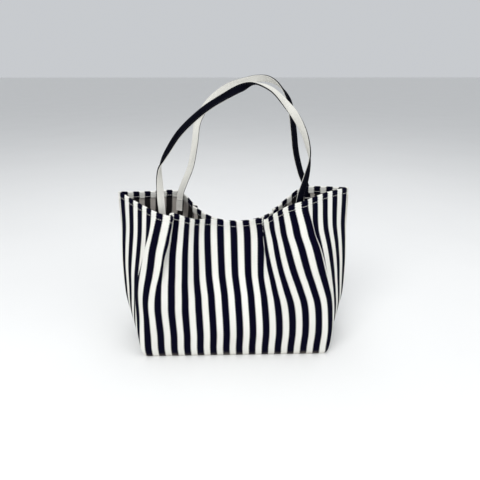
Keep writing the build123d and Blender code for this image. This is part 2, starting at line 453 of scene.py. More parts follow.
@dataclass
class Surface:
    """Points, faces, cloth coordinates and material numbers of a mesh under construction."""

    points: list[Array] = field(default_factory=list)
    faces: list[Array] = field(default_factory=list)
    cloth: list[Array] = field(default_factory=list)
    finish: list[Array] = field(default_factory=list)
    count: int = 0

    def sheet(self, points: Array, cloth: Array, finish: int = 0, flip: bool = False,
              closed_rows: bool = False) -> Array:
        """Adds a grid of quads.

        Args:
            points: Rows by columns by 3.
            cloth: Cloth coordinates, of the same shape.
            finish: Material number.
            flip: Whether to turn the faces over.
            closed_rows: Whether the last row joins the first.

        Returns:
            The grid's point numbers, rows by columns.
        """
        rows, columns = points.shape[:2]
        index = self.count + np.arange(rows * columns).reshape(rows, columns)
        self.points.append(points.reshape(-1, 3))
        self.cloth.append(cloth.reshape(-1, 3))
        self.count += rows * columns
        self.join(index, finish, flip, closed_rows)
        return index

    def join(self, index: Array, finish: int = 0, flip: bool = False,
             closed_rows: bool = False) -> None:
        """Adds the quads between rows of points that are already there.

        Args:
            index: Point numbers, rows by columns.
            finish: Material number.
            flip: Whether to turn the faces over.
            closed_rows: Whether the last row joins the first.
        """
        if closed_rows:
            index = np.vstack([index, index[:1]])
        corners = [index[:-1, :-1], index[:-1, 1:], index[1:, 1:], index[1:, :-1]]
        quads = np.stack(corners, -1).reshape(-1, 4)
        self.faces.append(quads[:, ::-1] if flip else quads)
        self.finish.append(np.full(len(quads), finish))

    def cap(self, ring: Array, finish: int = 0) -> None:
        """Closes a ring of points that lie nearly in one plane with a fan of triangles.

        Args:
            ring: Point numbers in order.
            finish: Material number.
        """
        middle = np.concatenate(self.points)[ring].mean(0)
        cloth = np.concatenate(self.cloth)[ring].mean(0)
        self.points.append(middle[None])
        self.cloth.append(cloth[None])
        fan = [(ring[k], ring[(k + 1) % len(ring)], self.count, self.count)
               for k in range(len(ring))]
        self.count += 1
        self.faces.append(np.array(fan))
        self.finish.append(np.full(len(fan), finish))

    def piece(self, name: str, finishes: Sequence[bpy.types.Material]) -> bpy.types.Object:
        """Makes the object.

        Args:
            name: The piece's name.
            finishes: Materials by number.

        Returns:
            The object, smooth shaded, with its cloth coordinates.
        """
        mesh = bpy.data.meshes.new(name)
        quads = np.concatenate(self.faces)
        faces = [tuple(dict.fromkeys(quad)) for quad in quads.tolist()]
        mesh.from_pydata(np.concatenate(self.points).tolist(), [], faces)
        for material in finishes:
            mesh.materials.append(material)
        mesh.polygons.foreach_set("material_index", np.concatenate(self.finish).astype(np.int32))
        mesh.polygons.foreach_set("use_smooth", np.ones(len(faces), bool))
        layer = mesh.attributes.new(CLOTH_MAP, "FLOAT_VECTOR", "POINT")
        layer.data.foreach_set("vector", np.concatenate(self.cloth).astype(np.float32).ravel())
        mesh.validate()
        mesh.update()
        if signed_volume(mesh) < 0:
            mesh.flip_normals()
        made = bpy.data.objects.new(name, mesh)
        bpy.context.scene.collection.objects.link(made)
        LOG.info("%s: %d points, %d faces", name, len(mesh.vertices), len(mesh.polygons))
        return made

    def sewn(self, name: str, finishes: Sequence[bpy.types.Material], node: str) -> bpy.types.Object:
        """Makes a piece that stays with the bag's body.

        Args:
            name: The piece's name.
            finishes: Materials by number.
            node: The node that it takes the place of.

        Returns:
            The object.
        """
        made = self.piece(name, finishes)
        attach(made, "bag")
        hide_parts(node)
        return made


def signed_volume(mesh: bpy.types.Mesh) -> float:
    """Volume of a closed mesh, negative if its faces look inwards."""
    mesh.calc_loop_triangles()
    points = np.array([vertex.co for vertex in mesh.vertices])
    corners = np.array([triangle.vertices for triangle in mesh.loop_triangles])
    a, b, c = (points[corners[:, k]] for k in range(3))
    return float((a * np.cross(b, c)).sum() / 6)


def hermite(at: Array, knots: Array, values: Array, slopes: Array) -> Array:
    """Cubic curve through values with given slopes.

    Args:
        at: Where to read the curve.
        knots: Places of the values, rising.
        values: The values.
        slopes: The curve's slopes at the same places.

    Returns:
        The curve.
    """
    k = np.clip(np.searchsorted(knots, at, side="right") - 1, 0, len(knots) - 2)
    step, rise = knots[k + 1] - knots[k], values[k + 1] - values[k]
    t = (at - knots[k]) / step
    start, stop = slopes[k] * step, slopes[k + 1] * step
    return (values[k] + start * t + (3 * rise - 2 * start - stop) * t**2
            + (start + stop - 2 * rise) * t**3)


def eased(x: Array, xs: Sequence[float], ys: Sequence[float]) -> Array:
    """Smooth curve through a few values that never overshoots them.

    Args:
        x: Where to read the curve.
        xs: Places of the values, rising.
        ys: The values.

    Returns:
        The curve at x, held flat past both ends.
    """
    xs, ys = np.asarray(xs, float), np.asarray(ys, float)
    slope = np.diff(ys) / np.diff(xs)
    tangent = np.concatenate([slope[:1], np.zeros(len(xs) - 2), slope[-1:]])
    same = slope[:-1] * slope[1:] > 0
    both = np.where(same, slope[:-1] + slope[1:], 1.0)
    tangent[1:-1] = np.where(same, 2 * slope[:-1] * slope[1:] / both, 0.0)
    return hermite(np.clip(x, xs[0], xs[-1]), xs, ys, tangent)


def softened(values: Array, spread: float) -> Array:
    """Values along a line with their corners rounded, the two ends kept.

    Args:
        values: The values, evenly spaced.
        spread: Reach of the rounding, in steps.

    Returns:
        The smoothed values.
    """
    reach = int(3 * spread) + 1
    kernel = np.exp(-0.5 * (np.arange(-reach, reach + 1) / spread) ** 2)
    before = 2 * values[0] - values[reach:0:-1]
    after = 2 * values[-1] - values[-2:-reach - 2:-1]
    return np.convolve(np.concatenate([before, values, after]), kernel / kernel.sum(), "valid")


def unit(vectors: Array) -> Array:
    """Vectors scaled to length 1."""
    return vectors / np.maximum(np.linalg.norm(vectors, axis=-1, keepdims=True), 1e-12)


def travelled(points: Array) -> Array:
    """Distance along a line of points, from 0 at the first."""
    return np.concatenate([[0], np.cumsum(np.linalg.norm(np.diff(points, axis=0), axis=1))])


def read_along(at: Array, length: Array, values: Array) -> Array:
    """Vectors at distances along a line, between the ones given at length."""
    return np.stack([np.interp(at, length, column) for column in values.T], 1)


def bell(offset: Array, width: float) -> Array:
    """Round bump that is 1 at 0."""
    return np.exp(-((offset / width) ** 2))


def plateau(offset: Array, width: Array | float) -> Array:
    """Flat-topped bump that is 1 at 0 and almost 0 past 1.3 widths."""
    return np.exp(-((offset / width) ** 4))


def squarish(values: Array, power: float) -> Array:
    """Sines or cosines pushed towards 1 and -1, which squares a round section."""
    return np.sign(values) * np.abs(values) ** power


@dataclass(frozen=True)
class Stitch:
    """The size of one stitch where it shows."""

    length: float
    radius: float


def stitches(surface: Surface, stitch: Stitch, middle: Array, along: Array, out: Array,
             finish: int = 0) -> None:
    """Adds short rounded bars of thread.

    Args:
        surface: The mesh that takes them.
        stitch: Their size.
        middle: Their middles.
        along: Their directions.
        out: The directions away from the cloth.
        finish: Material number.
    """
    rings, sides = 5, 6
    share = np.linspace(-1, 1, rings)
    swell = np.sqrt(np.clip(1.06 - share**2, 0.06, 1))      # of the radius, over the length
    sink = (share**2)[:, None, None] * stitch.radius * 0.9  # of the ends into the cloth
    angle = FULL_TURN * np.arange(sides) / sides
    along, out = unit(along), unit(out)
    across = unit(np.cross(along, out))
    out = np.cross(across, along)
    for centre, a, o, c in zip(middle, along, out, across):
        ring = np.cos(angle)[:, None] * o + np.sin(angle)[:, None] * c
        points = (centre + share[:, None, None] * a * stitch.length / 2
                  + swell[:, None, None] * ring[None] * stitch.radius - sink * o)
        cloth = np.zeros((rings, sides, 3))
        cloth[..., 0] = angle * stitch.radius
        cloth[..., 1] = share[:, None] * stitch.length / 2
        index = surface.sheet(points, cloth, finish)
        surface.join(np.stack([index[:, -1], index[:, 0]], 1), finish)
        surface.cap(index[0, ::-1], finish)
        surface.cap(index[-1], finish)


# ---------------------------------------------------------------------------------- the bag


@dataclass(frozen=True)
class Level:
    """One panel's outline at one height: side seam, shoulder, front face, shoulder, side seam."""

    height: float
    seam_x: float
    shoulder_x: float
    shoulder_y: float
    rounding: float
    middle: float               # depth where the closure draws the walls together
    at_sides: float             # shares of the spare cloth that the sides and the middle take up
    at_middle: float
    lean: float                 # how far the middle stripes lean to the right


@dataclass(frozen=True)
class Fold:
    """A soft fold that runs up a panel and takes in some of its width."""

    course: tuple[tuple[float, float, float], ...]  # place in stripe pairs, height, share there
    taken_in: float
    width: float
    steps_back: float               # +1 where the cloth steps inwards to the right, -1 to the left


@dataclass
class BagShape:
    """The outer face of the standing bag, as a map from flat cloth."""

    half_cloth: float = 11.5 * STRIPE_PITCH
    hem: float = 4.2 * MM           # whole thickness of the turned rim
    cloth: float = 1.3 * MM
    levels: tuple[Level, ...] = (
        Level(0.0, 0.1730, 0.1730, 0.0925, 0.004, 0.0925, 1.0, 0.0, 0.0070),
        Level(0.005, 0.1790, 0.1765, 0.0960, 0.004, 0.0960, 1.0, 0.0, 0.0070),
        Level(0.025, 0.2020, 0.1800, 0.0985, 0.008, 0.0985, 1.0, 0.0, 0.0065),
        Level(0.050, 0.2180, 0.1780, 0.0990, 0.013, 0.0985, 1.0, 0.0, 0.0060),
        Level(0.095, 0.2235, 0.1690, 0.0970, 0.020, 0.0860, 0.9, 0.0, 0.0045),
        Level(0.150, 0.2220, 0.1600, 0.0890, 0.020, 0.0500, 0.7, 0.0, 0.0020),
        Level(0.200, 0.2180, 0.1500, 0.0770, 0.018, 0.0220, 0.3, 0.2, -0.0010),
        Level(0.228, 0.2150, 0.1430, 0.0670, 0.016, 0.0060, 0.0, 0.5, -0.0030),
        Level(0.240, 0.2140, 0.1390, 0.0640, 0.016, 0.0047, 0.0, 0.5, -0.0040),
        Level(0.285, 0.2120, 0.1290, 0.0540, 0.014, 0.0047, 0.0, 0.5, -0.0040),
        Level(0.312, 0.2100, 0.1270, 0.0500, 0.014, 0.0047, 0.0, 0.5, -0.0040),
    )
    outline_steps: int = 720
    table_heights: int = 140
    table_columns: int = 1200
    sides_start: float = 6.5        # stripe pairs from the middle to where the sides begin
    sides_ramp: float = 2.0
    middle_reach: float = 5.0       # stripe pairs from the middle that its spare cloth spreads over
    least_kept: float = 0.08        # of the cloth's width, however deep the folds
    fold_relief: float = 0.62       # height of a fold's step as a share of the width taken in
    fold_steepness: float = 1.6
    fold_fade: float = 4.0          # fold widths over which the step dies away
    seam_fade: float = 20 * MM      # from the side seams, without folds or slack
    seam_groove: float = 1.4 * MM
    seam_groove_width: float = 3 * MM

    def rim(self, side: Side, x: Array) -> Array:
        """Height of the rim.

        Args:
            side: Which panel.
            x: Places along the bag.

        Returns:
            Heights.
        """
        if side is Side.FRONT:
            xs = (-0.209, -0.175, -0.140, -0.105, -0.060, 0.0,
                  0.045, 0.062, 0.095, 0.130, 0.168, 0.209)
            zs = (0.299, 0.287, 0.2785, 0.272, 0.251, 0.240,
                  0.2495, 0.264, 0.287, 0.297, 0.303, 0.304)
        else:
            xs = (-0.209, -0.160, -0.111, -0.091, -0.075, 0.0, 0.075, 0.105, 0.125, 0.150, 0.209)
            zs = (0.299, 0.290, 0.285, 0.275, 0.260, 0.240, 0.252, 0.270, 0.286, 0.296, 0.304)
        return eased(x, xs, zs)

    def pinch(self, side: Side, x: Array) -> Array:
        """How far the closure draws a wall in, from 0 to 1.

        Args:
            side: Which panel.
            x: Places along the bag.

        Returns:
            1 at the closure and 0 out in the lobes.
        """
        left, right = (0.082, 0.074) if side is Side.FRONT else (0.078, 0.084)
        reach = np.where(x < 0, left, right)
        return plateau(x, reach)

    def folds(self, side: Side) -> tuple[Fold, ...]:
        """The folds of one panel."""
        if side is Side.FRONT:
            return (
                Fold(((-6.3, 0.12, 0.0), (-5.9, 0.19, 0.7), (-5.78, 0.23, 0.9), (-5.78, 0.28, 1.0)),
                     20 * MM, 8.5 * MM, 1),
                Fold(((2.4, 0.15, 0.0), (2.7, 0.21, 0.8), (3.1, 0.27, 1.0)),
                     14 * MM, 6.5 * MM, -1),
                Fold(((-8.8, 0.05, 0.0), (-8.3, 0.14, 1.0), (-7.9, 0.20, 0.9), (-7.6, 0.27, 0.0)),
                     9 * MM, 6 * MM, -1),
                Fold(((7.5, 0.02, 0.0), (7.7, 0.10, 0.8), (7.6, 0.19, 1.0), (7.5, 0.24, 0.8),
                      (7.5, 0.28, 0.2)),
                     12 * MM, 6.5 * MM, 1),
            )
        return (
            Fold(((-4.6, 0.14, 0.0), (-4.2, 0.20, 0.6), (-4.0, 0.27, 1.0)),
                 13 * MM, 7 * MM, 1),
            Fold(((3.9, 0.15, 0.0), (4.2, 0.22, 0.7), (4.5, 0.27, 1.0)),
                 12 * MM, 7 * MM, -1),
            Fold(((-8.6, 0.05, 0.0), (-8.1, 0.14, 1.0), (-7.9, 0.24, 0.0)),
                 10 * MM, 9 * MM, -1),
            Fold(((8.7, 0.05, 0.0), (8.2, 0.15, 1.0), (7.7, 0.26, 0.0)),
                 10 * MM, 9 * MM, 1),
        )

    def outline(self, side: Side, z: float, across: Array) -> Array:
        """One level line of a panel.

        Args:
            side: Which panel.
            z: Height.
            across: Places across the cloth, from its left edge to its right.

        Returns:
            X and Y of the outer face.
        """
        level = self.level_at(z)
        corners = np.array([(-level.seam_x, 0), (-level.shoulder_x, level.shoulder_y),
                            (level.shoulder_x, level.shoulder_y), (level.seam_x, 0)])
        runs = travelled(corners)
        place = np.linspace(0, runs[-1], self.outline_steps + 1)
        x, y = (softened(np.interp(place, runs, corners[:, k]), level.rounding / place[1])
                for k in (0, 1))
        y = y * (1 - (1 - level.middle / level.shoulder_y) * self.pinch(side, x))
        length = travelled(np.stack([x, y], 1))
        kept = self.kept(side, z, across, length[-1])
        travel = np.concatenate([[0], np.cumsum((kept[1:] + kept[:-1]) / 2 * np.diff(across))])
        at = travel / travel[-1] * length[-1]
        return np.stack([np.interp(at, length, x), np.interp(at, length, y)], -1)

    def kept(self, side: Side, z: float, across: Array, length: float) -> Array:
        """Share of the cloth's width that still shows once folds and slack have had theirs.

        Args:
            side: Which panel.
            z: Height.
            across: Evenly spaced places across the cloth.
            length: Length of the outline that the cloth has to fit.

        Returns:
            The share at each place.
        """
        level, step = self.level_at(z), across[1] - across[0]
        kept = np.ones_like(across)
        for fold in self.folds(side):
            place, strength = self.fold_at(fold, z)
            depth = strength * fold.taken_in / (fold.width * PLATEAU_AREA)
            kept -= depth * plateau(across - place, fold.width)
        spare = kept.sum() * step - length
        stripes = np.abs(across) / STRIPE_PITCH
        ramp = np.clip((stripes - self.sides_start) / self.sides_ramp, 0, 1)
        evenly = 1 - level.at_sides - level.at_middle
        windows = ((level.at_sides, ramp), (level.at_middle, plateau(stripes, self.middle_reach)),
                   (evenly, np.ones_like(ramp)))
        for share, window in windows:
            kept = kept - spare * share * window / (window.sum() * step)
        kept -= level.lean * np.sign(across) * ramp / (ramp.sum() * step / 2)
        return np.maximum(kept, self.least_kept)

    def level_at(self, z: float) -> Level:
        """The outline's sizes at any height."""
        heights = [level.height for level in self.levels]
        columns = ([getattr(level, entry.name) for level in self.levels] for entry in fields(Level))
        return Level(*(float(eased(np.array(z), heights, column)) for column in columns))

    def fold_at(self, fold: Fold, z: float | Array) -> tuple[Array, Array]:
        """Where a fold is at a height, in metres across the cloth, and how strong it is there."""
        places, heights, strengths = zip(*fold.course)
        strength = np.where(np.asarray(z) < heights[0], 0.0, eased(z, heights, strengths))
        return eased(z, heights, places) * STRIPE_PITCH, strength

    def wall(self, side: Side, across: Array, z: Array) -> Array:
        """Outer face of a panel's wall.

        Args:
            side: Which panel.
            across: Places across the cloth, one for each column.
            z: Heights, rows by columns.

        Returns:
            Points, rows by columns by 3.
        """
        heights = np.linspace(0, self.levels[-1].height, self.table_heights)
        fine = np.linspace(-self.half_cloth, self.half_cloth, self.table_columns)
        table = np.empty((len(heights), len(across), 2))
        for k, height in enumerate(heights):
            line = self.outline(side, height, fine)
            table[k] = read_along(across, fine, line)
        flat = np.stack([
            np.stack([np.interp(column, heights, table[:, j, axis])
                      for j, column in enumerate(z.T)], 1)
            for axis in (0, 1)], -1)
        tangent = np.gradient(flat, axis=1)
        outward = unit(np.stack([-tangent[..., 1], tangent[..., 0]], -1))
        flat = flat + outward * self.relief(side, across, z)[..., None]
        return np.stack([flat[..., 0], side.value * flat[..., 1], z], -1)

    def relief(self, side: Side, across: Array, z: Array) -> Array:
        """How far the cloth stands off the plain outline, for its folds, seams and slack.

        Args:
            side: Which panel.
            across: Places across the cloth, one for each column.
            z: Heights, rows by columns.

        Returns:
            Distances along the outward direction.
        """
        u = np.broadcast_to(across, z.shape)
        off = np.zeros_like(z)
        for fold in self.folds(side):
            place, strength = self.fold_at(fold, z)
            q = (u - place) / fold.width
            step = np.tanh(self.fold_steepness * q) * np.exp(-np.abs(q) / self.fold_fade)
            off -= fold.steps_back * strength * fold.taken_in * self.fold_relief * step
        lift = eased(z, (0.0, 0.02, 0.09, 0.20, 0.31), (0.0, 0.15, 1.0, 0.9, 0.45))
        phase = 1.7 * side.value
        slack = np.sin(u * 41 + phase + z * 9) * 0.5 + np.sin(u * 77 - z * 31 + 2 * phase) * 0.35
        slack += np.sin(u * 23 + z * 55 + phase) * 0.5
        off += slack * MM * lift
        to_edge = self.half_cloth - np.abs(u)
        groove = self.seam_groove * bell(to_edge, self.seam_groove_width)
        return off * (1 - bell(to_edge, self.seam_fade)) - groove


@dataclass
class Panel:
    """One panel: its wall, its half of both sides and of the base, and its turned rim."""

    shape: BagShape
    side: Side
    finishes: Finishes
    columns: int = 225
    wall_rows: int = 65
    crowding: float = 0.97          # of the wall's rows towards the rim
    near_rim: float = 0.29          # a height at which the rim's places along the bag are read
    fold_steps: int = 6
    hem_depth: float = 12 * MM
    hem_rows: int = 12
    hem_gap: float = 0.12 * MM      # between the wall and the hem turned inside it
    stitch_drop: float = 9.7 * MM
    stitch_pitch: float = 4.2 * MM
    stitch_margin: float = 6 * MM   # from the side seams to the first stitch
    stitch_lift: float = 0.25 * MM  # of its middle above the dimple
    stitch: Stitch = Stitch(3.3 * MM, 0.42 * MM)
    dimple: float = 0.55 * MM       # depth of the line that the stitches pull in
    dimple_width: float = 1.4 * MM
    puff: float = 0.25 * MM         # swelling of the hem above that line
    puff_width: float = 3.4 * MM
    wear_width: float = 1.2 * MM
    rim_wear: float = 0.35
    base_rows: int = 26
    base_inner_share: float = 0.62
    base_clearance: float = 0.2 * MM

    def __post_init__(self) -> None:
        """Lays out the wall's rows and columns."""
        half = self.shape.half_cloth
        self.across = np.linspace(-half, half, self.columns)
        self.drops = np.concatenate([
            np.linspace(self.shape.hem / 2, 15 * MM, 15), np.linspace(17.5 * MM, 40 * MM, 9)])
        near_rim = np.full((1, self.columns), self.near_rim)
        top = self.shape.wall(self.side, self.across, near_rim)[0]
        self.rim = self.shape.rim(self.side, top[:, 0])

    def outer(self) -> tuple[Array, Array]:
        """Outer face from the rim's fold down to the middle of the base.

        Returns:
            Points and cloth coordinates, rows by columns by 3.
        """
        top = self.rim[None] - self.drops[:, None]
        share = np.linspace(0, 1, self.wall_rows + 1)[1:, None]
        low = top[-1:] * (1 - share**self.crowding)
        heights = np.concatenate([top, np.maximum(low, 0.0)])
        wall = self.shape.wall(self.side, self.across, heights)
        down = np.concatenate([self.drops[:, None] + 0 * top, self.drops[-1] + top[-1:] - low])
        out = self.normals(wall)
        pull = bell(down - self.stitch_drop, self.dimple_width) * self.dimple
        puff = bell(down - self.stitch_drop / 2, self.puff_width) * self.puff
        wall = wall + out * (puff - pull)[..., None]
        fold, fold_down = self.fold(wall[0], out[0], self.shape.hem / 2)
        base, base_down = self.base(wall[-1], down[-1])
        points = np.concatenate([fold, wall, base])
        down = np.concatenate([fold_down, down, base_down])
        return points, self.cloth(points, down)

    def cloth(self, points: Array, down: Array) -> Array:
        """Cloth coordinates, with wear along the rim's fold and the base's edges."""
        u = np.broadcast_to(self.across, down.shape)
        base_wear = bell(points[..., 2], 11 * MM) * 0.9
        return np.stack([u, down, np.clip(self.rubbed(down) + base_wear, 0, 1)], -1)

    def rubbed(self, down: Array) -> Array:
        """Wear along the rim's fold, by the way down the cloth."""
        return np.exp(-np.abs(down) / self.wear_width) * self.rim_wear

    def normals(self, grid: Array) -> Array:
        """Outward directions of a grid whose rows run down."""
        right, down = np.gradient(grid, axis=1), np.gradient(grid, axis=0)
        return unit(np.cross(down, right)) * -self.side.value

    def fold(self, edge: Array, out: Array, radius: float) -> tuple[Array, Array]:
        """Quarter turn from the top of the rim down to the wall's first row.

        Args:
            edge: The wall's first row.
            out: Its outward directions.
            radius: Radius of the face's turn.

        Returns:
            Points of the rows above the edge, from the very top down, and their way down the cloth.
        """
        half = self.shape.hem / 2
        flat = out.copy()
        flat[:, 2] = 0
        flat = unit(flat)
        angle = self.quarter()
        rows = [edge + flat * (radius * math.cos(a) - half) + np.array([0, 0, radius * math.sin(a)])
                for a in angle]
        down = half - angle * half
        return np.array(rows), np.broadcast_to(down[:, None], (len(angle), self.columns))

    def quarter(self) -> Array:
        """Angles of the rows that turn over the rim, from its top down."""
        return np.linspace(math.pi / 2, 0, self.fold_steps + 1)[:-1]

    def base(self, edge: Array, down: Array) -> tuple[Array, Array]:
        """The half of the base, from its edge in to the middle seam.

        Args:
            edge: The wall's last row.
            down: The way down the cloth at that row.

        Returns:
            Points of the rows inside the edge, and their way along the cloth.
        """
        share = np.linspace(0, 1, self.base_rows + 1)[1:, None]
        x = edge[:, 0] * (1 - (1 - self.base_inner_share) * share)
        y = edge[:, 1] * (1 - share)
        z = self.base_clearance + 0.5 * MM * np.sin(math.pi * np.clip(share, 0, 1)) ** 2 + 0 * x
        rows = np.stack([x, y, z], -1)
        return rows, down + np.hypot(x - edge[:, 0], y - edge[:, 1])

    def build(self) -> None:
        """Builds the panel, its hem and its stitching."""
        points, cloth = self.outer()
        turned = self.fold_steps
        out = self.normals(points[turned:])
        inner = np.empty_like(points)
        inner[turned:] = points[turned:] - out * self.shape.cloth
        inner[:turned] = self.fold(inner[turned], out[0], self.shape.hem / 2 - self.shape.cloth)[0]
        surface = Surface()
        flip = self.side is Side.BACK
        outer_index = surface.sheet(points, cloth, 0, not flip)
        # The inner face takes the wrong-side finish, whose darker cream is partly painted shade of
        # the bag's inside.
        inner_index = surface.sheet(inner, cloth, 1, flip)
        for edge, turn in (((0, slice(None)), flip), ((-1, slice(None)), not flip),
                           ((slice(None), 0), not flip), ((slice(None), -1), flip)):
            surface.join(np.stack([outer_index[edge], inner_index[edge]]), 0, turn)
        word = self.side.word
        made = surface.sewn(f"{word}_panel_canvas", [self.finishes.canvas, self.finishes.lining],
                            f"{word}_panel")
        self.build_hem()
        self.build_topstitch()

    def hem_grid(self) -> tuple[Array, Array]:
        """The turned hem as a closed band inside the rim.

        Returns:
            Points and cloth coordinates: rows go round the band's section, columns along the rim.
        """
        half, cloth = self.shape.hem / 2, self.shape.cloth + self.hem_gap
        down = np.linspace(half, self.hem_depth, self.hem_rows)
        wall = self.shape.wall(self.side, self.across, self.rim[None] - down[:, None])
        out = self.normals(wall)
        pull = bell(down - self.stitch_drop, 1.6 * MM) * self.dimple
        face = wall - out * (self.shape.hem - pull)[:, None, None]
        back = wall - out * cloth
        flat = unit(out[0] * [1, 1, 0])
        angle = self.quarter()
        up = np.array([0, 0, 1])
        over = [wall[0] - flat * (half + half * math.cos(a)) + up * half * math.sin(a)
                for a in angle]
        thin = half - cloth
        under = [wall[0] - flat * (half - thin * math.cos(a)) + up * thin * math.sin(a)
                 for a in angle]
        centre = (face[-1] + back[-1]) / 2
        reach = np.linalg.norm(face[-1] - back[-1], axis=1)[:, None] / 2
        lip = [centre - out[-1] * reach * math.cos(a) - up * 1.1 * MM * math.sin(a)
               for a in np.linspace(0, math.pi, 5)[1:-1]]
        rows = [*over, *face, *lip, *back[::-1], *under[::-1]]
        along = [*(-(half - a * half) for a in angle), *(-down),
                 *([-self.hem_depth - 1 * MM] * len(lip)), *(-down[::-1]), *([0.0] * len(under))]
        grid = np.array(rows)
        drop = np.broadcast_to(np.array(along)[:, None], grid.shape[:2])
        u = np.broadcast_to(self.across, drop.shape)
        return grid, np.stack([u, drop, self.rubbed(drop)], -1)

    def build_hem(self) -> None:
        """Builds the turned hem."""
        grid, cloth = self.hem_grid()
        surface = Surface()
        flip = self.side is Side.FRONT
        index = surface.sheet(grid, cloth, 0, flip, closed_rows=True)
        surface.cap(index[:, 0] if flip else index[::-1, 0])
        surface.cap(index[::-1, -1] if flip else index[:, -1])
        word = self.side.word
        surface.sewn(f"{word}_hem_turned", [self.finishes.canvas], f"{word}_hem")

    def build_topstitch(self) -> None:
        """Builds the stitches that hold the hem, on the wall and on the hem."""
        end = self.shape.half_cloth - self.stitch_margin
        places = np.linspace(-end, end, int(end * 2 / self.stitch_pitch))
        drop = np.interp(places, self.across, self.rim) - self.stitch_drop
        heights = np.stack([drop + 0.5 * MM, drop, drop - 0.5 * MM])
        wall = self.shape.wall(self.side, places, heights)
        out, along = self.normals(wall)[1], np.gradient(wall[1], axis=0)
        surface = Surface()
        outside = wall[1] - out * (self.dimple - self.stitch_lift)
        stitches(surface, self.stitch, outside, along, out)
        inside = wall[1] - out * (self.shape.hem - self.dimple + self.stitch_lift)
        stitches(surface, self.stitch, inside, along, -out)
        word = self.side.word
        surface.sewn(f"{word}_topstitch_thread", [self.finishes.thread],
                     f"{word}_topstitch")


@dataclass
class Seam:
    """A raw seam allowance inside the bag: two layers of canvas, overlocked along the free edge."""

    node: str
    roots: Array                    # points along the stitched line
    reach: Array                    # direction from the stitched line to the free edge
    normal: Array                   # direction across the layers
    ripple: float = 0.7 * MM
    width: float = 9.5 * MM
    thickness: float = 2.6 * MM
    sides: int = 16
    stitch_pitch: float = 3.2 * MM
    stitch_reach: float = 0.72      # of the width, from the stitched line to the overlock
    stitch_lean: float = 0.25
    stitch: Stitch = Stitch(5.2 * MM, 0.35 * MM)

    def build(self, finish: bpy.types.Material) -> None:
        """Builds the allowance and its overlock stitching.

        Args:
            finish: Its material.
        """
        length = travelled(self.roots)
        angle = FULL_TURN * np.arange(self.sides) / self.sides
        wide = squarish(np.cos(angle), 0.35) * 0.5 + 0.5
        thick = squarish(np.sin(angle), 0.5) * 0.5
        wave = np.sin(length * 90) * 0.6 + np.sin(length * 37 + 1) * 0.4
        rows = []
        for w, t in zip(wide, thick):
            sway = self.normal * (t * self.thickness + wave * self.ripple * w)[:, None]
            rows.append(self.roots + self.reach * w * self.width + sway)
        grid = np.array(rows)
        cloth = np.zeros_like(grid)
        cloth[..., 0] = (wide * self.width)[:, None]
        cloth[..., 1] = length
        surface = Surface()
        index = surface.sheet(grid, cloth, 0, closed_rows=True)
        surface.cap(index[::-1, 0])
        surface.cap(index[:, -1])
        turns = np.arange(self.stitch_pitch, length[-1] - self.stitch_pitch, self.stitch_pitch)
        root = read_along(turns, length, self.roots)
        sway = np.interp(turns, length, wave)[:, None] * self.ripple * 0.8
        course = unit(read_along(turns, length, np.gradient(self.roots, axis=0)))
        for face in (1, -1):
            rise = sway + face * (self.thickness / 2 + 0.05 * MM)
            middle = root + self.reach * self.width * self.stitch_reach + self.normal * rise
            lean = unit(self.reach + face * self.stitch_lean * course)
            stitches(surface, self.stitch, middle, lean, face * self.normal + 0 * middle)
        surface.sewn(f"{self.node}_overlocked", [finish], self.node)


